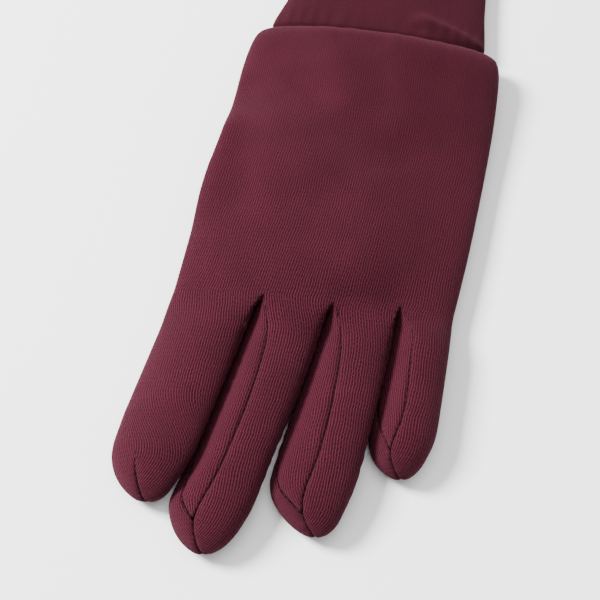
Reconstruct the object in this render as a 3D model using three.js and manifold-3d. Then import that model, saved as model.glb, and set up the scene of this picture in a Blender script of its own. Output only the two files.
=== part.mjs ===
// A knitted glove liner for the left hand. It lies palm down with its thumb folded under the palm.
// Millimetres, +Z up. The fingers point along -Y, the cuff along +Y and the index finger is on the -X
// side.
// The hand is one cut of jersey, the trank, folded round the index finger's side and closed by a seam
// under the little finger's side. Its back and its palm are a wall each, and they meet at that fold.
// Three fourchettes, which are the strips between the fingers, the thumb and the cuff are sewn to it.
// Every piece is a wall of cloth, open inside, with a gap at each seam.
import * as THREE from "three";
import { mergeVertices } from "three/addons/utils/BufferGeometryUtils.js";
import Module from "manifold-3d";

// Cloth
const fabric = 1.2; // one layer of brushed wool jersey
const cuffFabric = 2.2; // two layers, folded back at the hem
const seamGap = 0.5; // between the edges that a seam joins
const fingerGap = 0.8; // between neighbouring fingers, past their fork
const settle = 1; // how far the soft underside is pressed flat by lying on a table

// Hand
const palmWidth = 88; // over the knuckles
const palmLength = 108; // wrist seam to the fork between index and middle finger
const handThickness = 12.5; // top of the back to the table, with no thumb under it
const handRoundness = 2.5; // exponent of the hand's oval
const sideSeamAngle = -35; // degrees below the little finger's side

// Fingers
const indexLength = 69;
const middleLength = 82;
const ringLength = 74;
const littleLength = 55.5;
const fingerThickness = 12; // from the table to the top of a finger
const fingerTilt = 14; // degrees that each finger is rolled, its index side down
const forkSlant = 25; // degrees from upright of the crevice between two fingers
const forkBlend = 13; // length over which the flat hand rounds into a finger
const tipRound = 0.7; // length of a rounded fingertip, in finger widths

// Thumb
const thumbLength = 58;
const thumbWidth = 23;
const thumbThickness = 8;
const thumbHeading = 58; // degrees from the fingers' direction, pointing across the palm
const thumbHoleLength = 26;
const thumbHoleWidth = 17;
const thumbGap = 0.4; // between the thumb and the palm that lies on it
const thumbDrape = 13; // distance over which the cloth comes down beside the thumb
const thumbLift = 0.55; // share of the thumb's thickness that shows on the back of the hand

// Cuff
const cuffLength = 75;
const cuffWidth = 65;
const cuffThickness = 11;
const cuffShift = 0.9; // how far the cuff's middle line stands towards the little finger
const cuffNarrowing = 0.24; // share of its length in which the cuff narrows from the hand's edge

const radians = THREE.MathUtils.degToRad;
const lerp = THREE.MathUtils.lerp;
const vector = (x, y, z) => new THREE.Vector3(x, y, z);

// Outline and thickness of the hand. Along is a share of palmLength from the wrist seam, left and
// right are shares of palmWidth from the hand's middle line, and thick is a share of handThickness.
const handSections = [
  { along: 0.0, left: -0.425, right: 0.415, thick: 0.84 },
  { along: 0.014, left: -0.448, right: 0.452, thick: 1.08 },
  { along: 0.04, left: -0.468, right: 0.473, thick: 1.27 },
  { along: 0.09, left: -0.483, right: 0.485, thick: 1.34 },
  { along: 0.185, left: -0.497, right: 0.489, thick: 1.22 },
  { along: 0.32, left: -0.502, right: 0.486, thick: 1.08 },
  { along: 0.46, left: -0.511, right: 0.477, thick: 1.0 },
  { along: 0.6, left: -0.532, right: 0.466, thick: 0.98 },
  { along: 0.74, left: -0.541, right: 0.453, thick: 0.98 },
  { along: 0.88, left: -0.552, right: 0.436, thick: 0.97 },
  { along: 1.0, left: -0.559, right: 0.42, thick: 0.96 },
];

// Forks between the fingers, with the two outer sides of the hand first and last. Across is a share
// of palmWidth and along a share of palmLength.
const forks = [
  { name: "index_side", across: -0.559, along: 1.0 },
  { name: "index_middle", across: -0.233, along: 1.0 },
  { name: "middle_ring", across: 0.009, along: 0.995 },
  { name: "ring_little", across: 0.236, along: 0.963 },
  { name: "little_side", across: 0.427, along: 0.944 },
];

// Fingers, index first. Half is half the width and root the place of the middle line at the fork, in
// shares of palmWidth. Closing is the seam that closes the tip, past the ends of the fourchettes, as a
// share of the finger's length.
const fingers = [
  { name: "index", length: indexLength, half: 0.152, root: -0.408, closing: 0.16 },
  { name: "middle", length: middleLength, half: 0.143, root: -0.143, closing: 0.104 },
  { name: "ring", length: ringLength, half: 0.143, root: 0.093, closing: 0.068 },
  { name: "little", length: littleLength, half: 0.116, root: 0.309, closing: 0.126 },
];

// How far each finger's middle line has moved sideways, in shares of its length, at shares of it.
const bends = [
  { along: 0, index: 0, middle: 0, ring: 0, little: 0 },
  { along: 1 / 3, index: -0.052, middle: -0.055, ring: -0.022, little: -0.004 },
  { along: 2 / 3, index: -0.102, middle: -0.122, ring: -0.056, little: -0.012 },
  { along: 0.85, index: -0.12, middle: -0.15, ring: -0.071, little: -0.02 },
  { along: 1, index: -0.105, middle: -0.144, ring: -0.03, little: 0.002 },
];

// Where the four seams run round a finger, in degrees from its little-finger side over its top. Along
// is a share of the length from the fork to where the fourchettes end and the tip seam begins.
const seamRuns = [
  { along: 0.0, backLeft: 120, palmLeft: 196, palmRight: 306, backRight: 26 },
  { along: 0.07, backLeft: 106, palmLeft: 196, palmRight: 304, backRight: 20 },
  { along: 0.18, backLeft: 95, palmLeft: 194, palmRight: 302, backRight: 12 },
  { along: 0.45, backLeft: 86, palmLeft: 184, palmRight: 300, backRight: 0 },
  { along: 0.68, backLeft: 83, palmLeft: 168, palmRight: 296, backRight: -14 },
  { along: 0.83, backLeft: 85, palmLeft: 148, palmRight: 290, backRight: -34 },
  { along: 0.93, backLeft: 92, palmLeft: 125, palmRight: 284, backRight: -58 },
  { along: 1.0, backLeft: 101, palmLeft: 101, palmRight: 281, backRight: -79 },
];
const indexFold = 180; // the trank's back and palm meet here, along the index finger's side
const littleSideSeam = -55; // the trank's own seam on the little finger

// Soft folds of the back. Each runs from one place to another, with X across and Y along the palm in
// shares of its width and length. Width and depth are shares of handThickness, and a negative depth
// is a ridge.
const folds = [
  { name: "thumb_crease", fromX: -0.455, fromY: 0.26, toX: -0.394, toY: 0.7, width: 0.36, depth: 0.2 },
  { name: "knuckle_dip", fromX: 0.04, fromY: 0.97, toX: 0.2, toY: 0.93, width: 0.4, depth: 0.06 },
  { name: "wrist_dome", fromX: -0.02, fromY: 0.05, toX: 0.05, toY: 0.26, width: 1.9, depth: -0.3 },
];

// The cuff from the wrist seam to its hem. Along is a share of cuffLength, and width and thick are
// shares of cuffWidth and cuffThickness.
const cuffSections = [
  { along: 0.0, width: 1.06, thick: 1.0 },
  { along: 0.07, width: 1.06, thick: 1.0 },
  { along: 0.14, width: 1.06, thick: 1.0 },
  { along: 0.34, width: 1.04, thick: 0.97 },
  { along: 0.62, width: 1.01, thick: 0.95 },
  { along: 0.88, width: 1.0, thick: 1.0 },
  { along: 1.0, width: 1.01, thick: 1.02 },
];

// How finely the faceted solids follow their shapes
const stripColumns = 5;
const fourchetteColumns = 4;
const handRows = [0, 0.014, 0.04, 0.085, 0.15, 0.21, 0.27, 0.33, 0.39, 0.46, 0.53, 0.61, 0.7, 0.8, 0.9, 1];
const fingerRows = 6;
const tipRows = 4;
const forkRows = [0, 0.14, 0.36, 0.66];
const cuffSides = 32;
const thumbSides = 14;
const thumbRows = 9;
const holeSides = 20;

// A smooth curve through one column of a table, at any place along it.
function read(rows, column, at) {
  const stations = rows.map((row) => row.along);
  const value = (i) => rows[i][column];
  const last = stations.length - 1;
  const place = THREE.MathUtils.clamp(at, stations[0], stations[last]);
  let i = 0;
  while (i < last - 1 && place > stations[i + 1]) i += 1;
  const slope = (j) => {
    const before = Math.max(0, j - 1);
    const after = Math.min(last, j + 1);
    return (value(after) - value(before)) / (stations[after] - stations[before]);
  };
  const span = stations[i + 1] - stations[i];
  const u = (place - stations[i]) / span;
  const held = (1 + 2 * u) * (1 - u) ** 2 * value(i) + u * u * (3 - 2 * u) * value(i + 1);
  return held + span * (u * (1 - u) ** 2 * slope(i) - u * u * (1 - u) * slope(i + 1));
}

const smooth = (u) => THREE.MathUtils.smoothstep(u, 0, 1);
const rounded = (value, roundness) => Math.sign(value) * Math.abs(value) ** (2 / roundness);

// The thumb's line on the table, from its base end at the index side of the hand.
const thumbDirection = vector(Math.sin(radians(thumbHeading)), -Math.cos(radians(thumbHeading)), 0);
const thumbStart = vector(-0.53 * palmWidth, -0.52 * palmLength, 0);
const thumbCross = vector(-thumbDirection.y, thumbDirection.x, 0);

function thumbPoint(along, across, z) {
  const place = thumbStart.clone().addScaledVector(thumbDirection, along);
  return place.addScaledVector(thumbCross, across).setZ(z);
}

// 1 over the thumb, falling to 0 at the given distance beside it.
function overThumb(x, y, reach) {
  const offset = vector(x, y, 0).sub(thumbStart);
  const half = thumbWidth / 2;
  const along = THREE.MathUtils.clamp(offset.dot(thumbDirection), half, thumbLength - half);
  const beside = offset.addScaledVector(thumbDirection, -along).length() - half;
  return 1 - smooth((beside - thumbDrape / 4) / reach);
}

// The height of what the palm side lies on: the table, or the thumb folded under it.
const restHeight = (x, y) => (thumbThickness + thumbGap) * overThumb(x, y, thumbDrape);
const backLift = (x, y) => thumbLift * thumbThickness * overThumb(x, y, 2 * thumbDrape);

// How far the folds press the back down at a place. They die away at the wrist seam.
function foldDepth(x, y) {
  let depth = 0;
  for (const fold of folds) {
    const from = new THREE.Vector2(fold.fromX * palmWidth, -fold.fromY * palmLength);
    const to = new THREE.Vector2(fold.toX * palmWidth, -fold.toY * palmLength);
    const run = to.clone().sub(from);
    const place = new THREE.Vector2(x, y).sub(from);
    const share = THREE.MathUtils.clamp(place.dot(run) / run.lengthSq(), 0, 1);
    const distance = place.sub(run.multiplyScalar(share)).length() / (fold.width * handThickness);
    depth += fold.depth * handThickness * Math.exp(-distance * distance);
  }
  return depth * smooth(-y / (0.07 * palmLength));
}

// A point of the hand's oval. Angle 0 is the little finger's side, 90 the back and 180 the index
// side. Inset is 0 on the outside of the cloth and its thickness on the inside.
function handPoint(angle, y, inset) {
  const along = -y / palmLength;
  const left = read(handSections, "left", along) * palmWidth;
  const right = read(handSections, "right", along) * palmWidth;
  const half = (read(handSections, "thick", along) * handThickness + settle) / 2;
  const cosine = rounded(Math.cos(radians(angle)), handRoundness);
  const sine = rounded(Math.sin(radians(angle)), handRoundness);
  const x = (left + right) / 2 + ((right - left) / 2 - inset) * cosine;
  const rest = restHeight(x, y);
  const lift = lerp(rest, backLift(x, y), (1 + sine) / 2);
  const fold = foldDepth(x, y) * Math.max(0, sine);
  const z = half - settle + (half - inset) * sine + lift - fold;
  return vector(x, y, Math.max(z, rest + inset));
}

// The angle on the hand's oval that has a given place across, over the back or under the palm.
function handAngle(across, along, underneath) {
  const left = read(handSections, "left", along);
  const right = read(handSections, "right", along);
  const share = THREE.MathUtils.clamp((2 * across - left - right) / (right - left), -1, 1);
  const cosine = Math.sign(share) * Math.abs(share) ** (handRoundness / 2);
  const angle = THREE.MathUtils.radToDeg(Math.acos(cosine));
  return underneath ? 360 - angle : angle;
}

const forkLean = Math.tan(radians(forkSlant));
const forkShift = (forkLean * handThickness) / palmWidth;
const backForkAngles = forks.map((fork, i) => {
  if (i === 0) return 180;
  return i === 4 ? sideSeamAngle : handAngle(fork.across, fork.along, false);
});
const palmForkAngles = forks.map((fork, i) => {
  if (i === 0) return 180;
  return i === 4 ? 360 + sideSeamAngle : handAngle(fork.across - forkShift, fork.along, true);
});

const tilt = radians(fingerTilt);
const rootDepth = (k, share) => lerp(forks[k].along, forks[k + 1].along, share) * palmLength;

// The middle line, half width and half height of finger k at a share of its length.
function fingerSection(k, t) {
  const finger = fingers[k];
  const x = finger.root * palmWidth + finger.length * read(bends, finger.name, t);
  const y = -rootDepth(k, 0.5) - finger.length * t;
  const full = finger.half * palmWidth;
  const u = THREE.MathUtils.clamp(1 - ((1 - t) * finger.length) / (2 * full * tipRound), 0, 1);
  const half = full * (1 - u ** 1.8) ** 0.55;
  const halfHeight = ((fingerThickness + settle) / 2) * (1 - u ** 2.4) ** 0.5;
  return { x, y, half, halfHeight };
}

// Where the crevice between finger k and the next one stands at a distance down the hand.
function crevice(k, y) {
  const reach = (i) => (-y - rootDepth(i, 0.5)) / fingers[i].length;
  if (Math.max(reach(k), reach(k + 1)) > 1) return null;
  const left = fingerSection(k, reach(k));
  const right = fingerSection(k + 1, reach(k + 1));
  return (left.x + left.half + right.x - right.half) / 2;
}

// A point of finger k's own oval, rolled, resting on the table and clear of its neighbours.
function fingerPoint(k, angle, t, inset) {
  const section = fingerSection(k, t - (t * inset) / fingers[k].length);
  const wide = Math.max(0, section.half - inset) / Math.cos(tilt);
  const high = Math.max(0, section.halfHeight - inset);
  const across = wide * Math.cos(radians(angle));
  const up = high * Math.sin(radians(angle));
  const middle = fingerThickness / 2;
  const x = section.x + across * Math.cos(tilt) - up * Math.sin(tilt);
  const z = Math.max(middle - settle / 2 + across * Math.sin(tilt) + up * Math.cos(tilt), inset);
  const lean = forkLean * (z - middle);
  const right = k < 3 ? crevice(k, section.y) : null;
  const left = k > 0 ? crevice(k - 1, section.y) : null;
  let clear = x;
  if (right !== null) clear = Math.min(clear, right + lean - fingerGap / 2 - inset);
  if (left !== null) clear = Math.max(clear, left + lean + fingerGap / 2 + inset);
  return vector(clear, section.y, z);
}

// The angle of a seam on finger k. Past the fourchettes the back and palm seams are one.
function seamAngle(k, column, t) {
  const share = t / (1 - fingers[k].closing);
  const run = read(seamRuns, column, Math.min(share, 1));
  if (k === 0 && (column === "backLeft" || column === "palmLeft")) {
    return lerp(indexFold, seamRuns.at(-1).backLeft, smooth((share - 0.6) / 0.4));
  }
  if (k === 3 && column === "backRight") return lerp(littleSideSeam, run, smooth((share - 0.6) / 0.4));
  if (k === 3 && column === "palmRight") return 360 + seamAngle(3, "backRight", t);
  return run;
}

// A point of finger k that starts on the given point of the hand and rounds into the finger's oval.
function blended(k, start, angle, t, inset) {
  const moved = fingerSection(k, t);
  const root = fingerSection(k, 0);
  const carried = start.clone().add(vector(moved.x - root.x, moved.y - root.y, 0));
  const share = Math.min(1, (t * fingers[k].length) / forkBlend);
  const own = fingerPoint(k, angle, t, inset);
  const x = lerp(carried.x, own.x, 1 - (1 - share) ** 2);
  return vector(x, lerp(carried.y, own.y, share), lerp(carried.z, own.z, smooth(share)));
}

// The stations of finger k: close together at the fork and at the tip.
function fingerStations(k) {
  const length = fingers[k].length;
  const nearFork = forkRows.map((share) => (share * forkBlend) / length);
  const start = forkBlend / length;
  const end = 1 - fingers[k].closing;
  const middle = Array.from({ length: fingerRows }, (_, i) => lerp(start, end, i / fingerRows));
  const closing = Array.from({ length: tipRows + 1 }, (_, i) => Math.sin(radians((90 * i) / tipRows)));
  return [...nearFork, ...middle, ...closing.map((share) => lerp(end, 1, share))];
}
const tipStart = forkRows.length + fingerRows; // the row where the tip seam begins
const lastRow = tipStart + tipRows;

// A sheet of cloth: shared vertices with an outer and an inner point each, and triangles.
class Sheet {
  constructor() {
    this.index = new Map();
    this.outer = [];
    this.inner = [];
    this.faces = [];
  }

  vertex(key, outer, inner) {
    if (!this.index.has(key)) {
      this.index.set(key, this.outer.length);
      this.outer.push(outer);
      this.inner.push(inner);
    }
    return this.index.get(key);
  }

  // Two triangles, or one where two corners are the same vertex. Corners run anticlockwise from outside.
  quad(a, b, c, d) {
    const halves = [[a, b, c], [a, c, d]];
    for (const half of halves) if (new Set(half).size === 3) this.faces.push(half);
  }

  // The edges that only one triangle uses, in that triangle's direction.
  border() {
    const edges = new Map();
    for (const face of this.faces) {
      face.forEach((from, i) => {
        const to = face[(i + 1) % 3];
        if (!edges.delete(`${to},${from}`)) edges.set(`${from},${to}`, [from, to, face[(i + 2) % 3]]);
      });
    }
    return [...edges.values()];
  }

  // Draws the border in by half the seam gap, so that neighbouring pieces stand clear of each other.
  // At the root of a slit, where both sides' pulls cancel, it is drawn well away from the slit.
  // Nothing is drawn below the table.
  drawnIn(points, border) {
    const pulls = new Map();
    for (const [from, to, apex] of border) {
      const along = points[to].clone().sub(points[from]).normalize();
      const inwards = points[apex].clone().sub(points[from]);
      inwards.addScaledVector(along, -inwards.dot(along)).normalize();
      for (const [end, away] of [[from, along], [to, along.clone().negate()]]) {
        if (!pulls.has(end)) pulls.set(end, { inwards: vector(0, 0, 0), away: vector(0, 0, 0) });
        pulls.get(end).inwards.add(inwards);
        pulls.get(end).away.sub(away);
      }
    }
    return points.map((point, i) => {
      if (!pulls.has(i)) return point;
      const { inwards, away } = pulls.get(i);
      const drawn = point.clone();
      if (inwards.length() < 0.5) drawn.add(away.setLength(1.6 * seamGap));
      else drawn.addScaledVector(inwards, seamGap / inwards.lengthSq());
      return drawn.setZ(Math.max(drawn.z, 0));
    });
  }

  geometry() {
    const border = this.border();
    const count = this.outer.length;
    const points = [...this.drawnIn(this.outer, border), ...this.drawnIn(this.inner, border)];
    const triangles = [];
    for (const [a, b, c] of this.faces) triangles.push(a, b, c, a + count, c + count, b + count);
    // A seam's edge is split along its shorter diagonal, as it is on the piece across the gap.
    for (const [from, to] of border) {
      const [inner, innerTo] = [from + count, to + count];
      const leads = points[from].distanceTo(points[innerTo]) < points[to].distanceTo(points[inner]);
      triangles.push(to, from, leads ? innerTo : inner, leads ? from : to, inner, innerTo);
    }
    return solidGeometry(points, triangles);
  }
}

function solidGeometry(points, triangles) {
  const geometry = new THREE.BufferGeometry();
  const places = points.flatMap((point) => point.toArray());
  geometry.setAttribute("position", new THREE.Float32BufferAttribute(places, 3));
  geometry.setIndex(triangles);
  return geometry;
}

// Rings of points joined in order. A closed loop joins the last ring to the first, and a plain run
// is capped at both ends.
function ringSolid(rings, loop) {
  const sides = rings[0].length;
  const points = rings.flat();
  const triangles = [];
  const at = (ring, side) => (ring % rings.length) * sides + (side % sides);
  const steps = loop ? rings.length : rings.length - 1;
  for (let ring = 0; ring < steps; ring += 1) {
    for (let side = 0; side < sides; side += 1) {
      const corners = [at(ring, side), at(ring, side + 1), at(ring + 1, side + 1), at(ring + 1, side)];
      triangles.push(corners[0], corners[1], corners[2], corners[0], corners[2], corners[3]);
    }
  }
  if (!loop) {
    for (const ring of [0, rings.length - 1]) {
      const middle = rings[ring].reduce((sum, p) => sum.add(p), vector(0, 0, 0)).divideScalar(sides);
      points.push(middle);
      for (let side = 0; side < sides; side += 1) {
        const edge = [at(ring, side), at(ring, side + 1)];
        if (ring === 0) edge.reverse();
        triangles.push(points.length - 1, ...edge);
      }
    }
  }
  return solidGeometry(points, triangles);
}

// A point of the fork between finger k and the next, from the back to the palm. Towards is -1 on the
// wall that goes down finger k, 1 on the next finger's and 0 where both meet.
function forkPoint(k, share, towards, inset) {
  const top = handPoint(backForkAngles[k + 1], -rootDepth(k, 1), 0);
  const bottom = handPoint(palmForkAngles[k + 1], -rootDepth(k, 1), 0);
  const trim = inset / (top.z - bottom.z);
  const point = top.lerp(bottom, lerp(trim, 1 - trim, share));
  return point.add(vector(towards * inset, towards === 0 ? inset : 0, 0));
}

// Trank. Its sides are "back" and "palm", and columns run from the index finger's side to the little
// finger's. Each finger's strip goes on from the part of the hand above it.
const forkAngles = { back: backForkAngles, palm: palmForkAngles };
const forkShare = { back: 0, palm: 1 };

function trankHandPoint(side, k, column, v, inset) {
  const share = column / stripColumns;
  if (v === 1 && share === 0 && k > 0) return forkPoint(k - 1, forkShare[side], 0, inset);
  if (v === 1 && share === 1 && k < 3) return forkPoint(k, forkShare[side], 0, inset);
  const angle = lerp(forkAngles[side][k], forkAngles[side][k + 1], share);
  return handPoint(angle, -v * rootDepth(k, share), inset);
}

function trankFingerPoint(side, k, column, t, inset) {
  const share = column / stripColumns;
  const leftSeam = seamAngle(k, side === "back" ? "backLeft" : "palmLeft", t);
  const rightSeam = seamAngle(k, side === "back" ? "backRight" : "palmRight", t);
  let start = trankHandPoint(side, k, column, 1, inset);
  if (share === 0 && k > 0) start = forkPoint(k - 1, forkShare[side], 1, inset);
  if (share === 1 && k < 3) start = forkPoint(k, forkShare[side], -1, inset);
  return blended(k, start, lerp(leftSeam, rightSeam, share), t, inset);
}

function trankGeometry(side) {
  const sheet = new Sheet();
  const add = (key, point) => sheet.vertex(key, point(0), point(fabric));
  const hand = (k, column, row) => {
    const point = (inset) => trankHandPoint(side, k, column, handRows[row], inset);
    return add(`hand ${k * stripColumns + column} ${row}`, point);
  };
  const lastHandRow = handRows.length - 1;
  const finger = (k, column, row) => {
    if (row === 0) return hand(k, column, lastHandRow);
    const point = (inset) => trankFingerPoint(side, k, column, fingerStations(k)[row], inset);
    return add(row === lastRow ? `tip ${k}` : `finger ${k} ${column} ${row}`, point);
  };
  for (let k = 0; k < fingers.length; k += 1) {
    for (let column = 0; column < stripColumns; column += 1) {
      for (const [strip, rows] of [[hand, lastHandRow], [finger, lastRow]]) {
        for (let row = 0; row < rows; row += 1) {
          const corners = [strip(k, column, row + 1), strip(k, column + 1, row + 1)];
          corners.push(strip(k, column + 1, row), strip(k, column, row));
          if (side === "palm") corners.reverse();
          sheet.quad(...corners);
        }
      }
    }
  }
  return sheet.geometry();
}

// Fourchette between finger k and the next: down one finger's side, round the fork and up the other.
function fourchetteGeometry(k) {
  const sheet = new Sheet();
  const sidePoint = (finger, share, row, inset) => {
    const t = fingerStations(finger)[row];
    const [back, palm] = finger === k ? ["backRight", "palmRight"] : ["backLeft", "palmLeft"];
    const turn = finger === k ? 360 : 0;
    const angle = lerp(seamAngle(finger, back, t) + turn, seamAngle(finger, palm, t), share);
    const start = forkPoint(k, share, finger === k ? -1 : 1, inset);
    return blended(finger, start, angle, t, inset);
  };
  const vertex = (row, column) => {
    const share = column / fourchetteColumns;
    if (row === 0) {
      return sheet.vertex(`fork ${column}`, forkPoint(k, share, 0, 0), forkPoint(k, share, 0, fabric));
    }
    const finger = row < 0 ? k : k + 1;
    const place = Math.abs(row);
    const key = place === tipStart ? `end ${finger}` : `${row} ${column}`;
    return sheet.vertex(key, sidePoint(finger, share, place, 0), sidePoint(finger, share, place, fabric));
  };
  for (let row = -tipStart; row < tipStart; row += 1) {
    for (let column = 0; column < fourchetteColumns; column += 1) {
      const near = [vertex(row, column), vertex(row + 1, column)];
      sheet.quad(near[1], near[0], vertex(row, column + 1), vertex(row + 1, column + 1));
    }
  }
  return sheet.geometry();
}

// Cuff: one closed loop of rings along its inside, round the hem's fold and back along its outside.
// It begins in the shape of the hand's edge that it is sewn to, and narrows to its own.
function cuffGeometry() {
  const { left, right, thick } = handSections[0];
  const ring = (share, inset, beyond) => {
    const narrowed = smooth(share / cuffNarrowing);
    const ownWidth = read(cuffSections, "width", share) * cuffWidth;
    const halfWidth = lerp((right - left) * palmWidth, ownWidth, narrowed) / 2;
    const ownThickness = read(cuffSections, "thick", share) * cuffThickness;
    const half = (lerp(thick * handThickness, ownThickness, narrowed) + settle) / 2;
    return Array.from({ length: cuffSides }, (_, side) => {
      const angle = (side / cuffSides) * 2 * Math.PI;
      const x = cuffShift + (halfWidth - inset) * rounded(Math.cos(angle), handRoundness);
      const z = half - settle + (half - inset) * rounded(Math.sin(angle), handRoundness);
      return vector(x, seamGap + share * cuffLength + beyond, Math.max(z, inset));
    });
  };
  const inside = cuffSections.map((section) => ring(section.along, cuffFabric, 0));
  const hem = [ring(1, cuffFabric / 2, cuffFabric / 2)];
  const outside = cuffSections.map((section) => ring(section.along, 0, 0)).reverse();
  return ringSolid([...inside, ...hem, ...outside], true);
}

// Thumb: a flattened tube under the palm, closed at both ends. Its mouth is cut in its top.
function thumbShell(inset) {
  const half = thumbWidth / 2;
  const rings = Array.from({ length: thumbRows + 1 }, (_, row) => {
    const end = inset + thumbWidth / 60;
    const along = lerp(end, thumbLength - end, (1 - Math.cos(radians((180 * row) / thumbRows))) / 2);
    const toEnd = Math.min(along, thumbLength - along);
    const wide = toEnd < half ? Math.sqrt(1 - (1 - toEnd / half) ** 2) : 1;
    const thick = (thumbThickness / 2) * Math.min(1, wide ** 0.5);
    return Array.from({ length: thumbSides }, (_, side) => {
      const angle = (side / thumbSides) * 2 * Math.PI;
      const across = Math.max(fabric / 4, half * wide - inset) * rounded(Math.cos(angle), handRoundness);
      const up = Math.max(fabric / 4, thick - inset) * rounded(Math.sin(angle), handRoundness);
      return thumbPoint(along, across, thumbThickness / 2 + up);
    });
  });
  return ringSolid(rings, false);
}

// The thumb hole: an upright oval that opens the thumb's top and the palm above it.
function thumbHole() {
  const middle = fabric + thumbHoleLength / 2 + thumbWidth / 8;
  const heights = [thumbThickness - 1.6 * fabric, thumbThickness + thumbGap + 1.6 * fabric];
  const rings = heights.map((height) => {
    return Array.from({ length: holeSides }, (_, side) => {
      const angle = (side / holeSides) * 2 * Math.PI;
      const along = middle + (thumbHoleLength / 2) * Math.cos(angle);
      return thumbPoint(along, (thumbHoleWidth / 2) * Math.sin(angle), height);
    });
  });
  return ringSolid(rings, false);
}

// Joins and cuts
const wasm = await Module();
wasm.setup();

function toManifold(geometry) {
  const merged = mergeVertices(geometry);
  const vertProperties = new Float32Array(merged.attributes.position.array);
  const triVerts = new Uint32Array(merged.index.array);
  return new wasm.Manifold(new wasm.Mesh({ numProp: 3, vertProperties, triVerts }));
}

function toGeometry(manifold) {
  const mesh = manifold.getMesh();
  const geometry = new THREE.BufferGeometry();
  geometry.setAttribute("position", new THREE.Float32BufferAttribute(mesh.vertProperties, 3));
  geometry.setIndex([...mesh.triVerts]);
  return geometry;
}

const hole = toManifold(thumbHole());
const trankPalm = toGeometry(toManifold(trankGeometry("palm")).subtract(hole));
const thumb = toGeometry(toManifold(thumbShell(0)).subtract(toManifold(thumbShell(fabric))).subtract(hole));

// Materials: burgundy wool jersey, a little darker on the cuff's double layer.
const jersey = () => new THREE.MeshStandardMaterial({ color: 0x6b2a3d, roughness: 0.92, metalness: 0 });
const cuffJersey = new THREE.MeshStandardMaterial({ color: 0x62293a, roughness: 0.92, metalness: 0 });

function piece(name, geometry, material) {
  geometry.computeVertexNormals();
  const mesh = new THREE.Mesh(geometry, material);
  mesh.name = name;
  return mesh;
}

const glove = new THREE.Group();
glove.add(piece("trank_back", trankGeometry("back"), jersey()));
glove.add(piece("trank_palm", trankPalm, jersey()));
for (let k = 0; k < 3; k += 1) {
  glove.add(piece(`fourchette_${forks[k + 1].name}`, fourchetteGeometry(k), jersey()));
}
glove.add(piece("thumb", thumb, jersey()));
glove.add(piece("cuff", cuffGeometry(), cuffJersey));

// The origin is the middle of the glove's footprint on the table.
const box = new THREE.Box3().setFromObject(glove);
glove.position.set(-(box.min.x + box.max.x) / 2, -(box.min.y + box.max.y) / 2, -box.min.z);

export default glove;
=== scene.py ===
import math

import bpy
import numpy as np
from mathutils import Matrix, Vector
from mathutils.kdtree import KDTree


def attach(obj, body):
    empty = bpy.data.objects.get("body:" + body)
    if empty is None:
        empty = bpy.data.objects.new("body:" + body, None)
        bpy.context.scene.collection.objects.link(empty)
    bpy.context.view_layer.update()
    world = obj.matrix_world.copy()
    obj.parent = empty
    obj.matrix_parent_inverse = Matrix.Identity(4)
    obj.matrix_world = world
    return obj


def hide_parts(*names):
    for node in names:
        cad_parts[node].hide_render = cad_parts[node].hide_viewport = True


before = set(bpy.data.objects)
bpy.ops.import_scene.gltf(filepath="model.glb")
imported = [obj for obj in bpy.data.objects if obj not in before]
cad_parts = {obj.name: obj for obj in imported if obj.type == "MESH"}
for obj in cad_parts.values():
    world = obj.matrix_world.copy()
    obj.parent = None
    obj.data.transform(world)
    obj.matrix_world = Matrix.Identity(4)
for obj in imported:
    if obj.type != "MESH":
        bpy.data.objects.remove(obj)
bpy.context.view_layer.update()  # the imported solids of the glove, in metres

# The camera stands over the fingertips, 60 degrees up and 450 mm from the middle of the view, a
# little to the little finger's side.
MM = 0.001
LOOKS_AT = Vector((-3.9, -44.4, 0.0)) * MM
STANDS_AT = Vector((32.1, -266.5, 389.7)) * MM
LENS_MM = 86.4

bpy.ops.object.camera_add(location=STANDS_AT)
camera = bpy.context.object
camera.name = "camera"
camera.rotation_euler = (LOOKS_AT - STANDS_AT).to_track_quat("-Z", "Y").to_euler()
camera.data.lens = LENS_MM
camera.data.sensor_width = 36
bpy.context.scene.camera = camera


# Merino jersey, brushed once: a plain knit of burgundy wool. Its wales, the columns of V stitches,
# stand 0.8 mm apart with a groove between them, its shade painted dark, and the yarn's own fuzz keeps it
# dull.
WALE_MM = 0.8
COURSE_MM = 1.5  # twice the real 0.7 mm, so that the stitches show
STITCH_MM = 2.2  # from one stitch of a seam's thread to the next
SLOW_WANDER_MM, QUICK_WANDER_MM = 6.25, 2.0
FIBRES_PER_MM = 2.4
PATCHES_PER_M = 70.0
BRUSHED_FROM, BRUSHED_TO = -0.05, 0.045  # along the glove, in metres
PALE_YARN = "571B2C"
DARK_YARN = "260A13"
GROOVE_SHADE = "040103"
FUZZ_TINT = "BC6480"


def linear(code):
    """An sRGB hex value as linear red, green, blue and alpha."""
    parts = [int(code[i:i + 2], 16) / 255 for i in (0, 2, 4)]
    return [c / 12.92 if c <= 0.04045 else ((c + 0.055) / 1.055) ** 2.4 for c in parts] + [1.0]


def add(tree, kind, settings=None, **inputs):
    """A node of that kind, or a Math node of that operation. An input is a value or an output."""
    operation = None if kind.startswith("ShaderNode") else kind
    node = tree.nodes.new("ShaderNodeMath" if operation else kind)
    if operation:
        node.operation = operation
    for name, value in (settings or {}).items():
        setattr(node, name, value)
    for name, value in inputs.items():
        socket = node.inputs[int(name[1:]) if name[1:].isdigit() else name.replace("_", " ")]
        if isinstance(value, bpy.types.NodeSocket):
            tree.links.new(value, socket)
        else:
            socket.default_value = value
    return node.outputs[0] if operation else node


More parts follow.
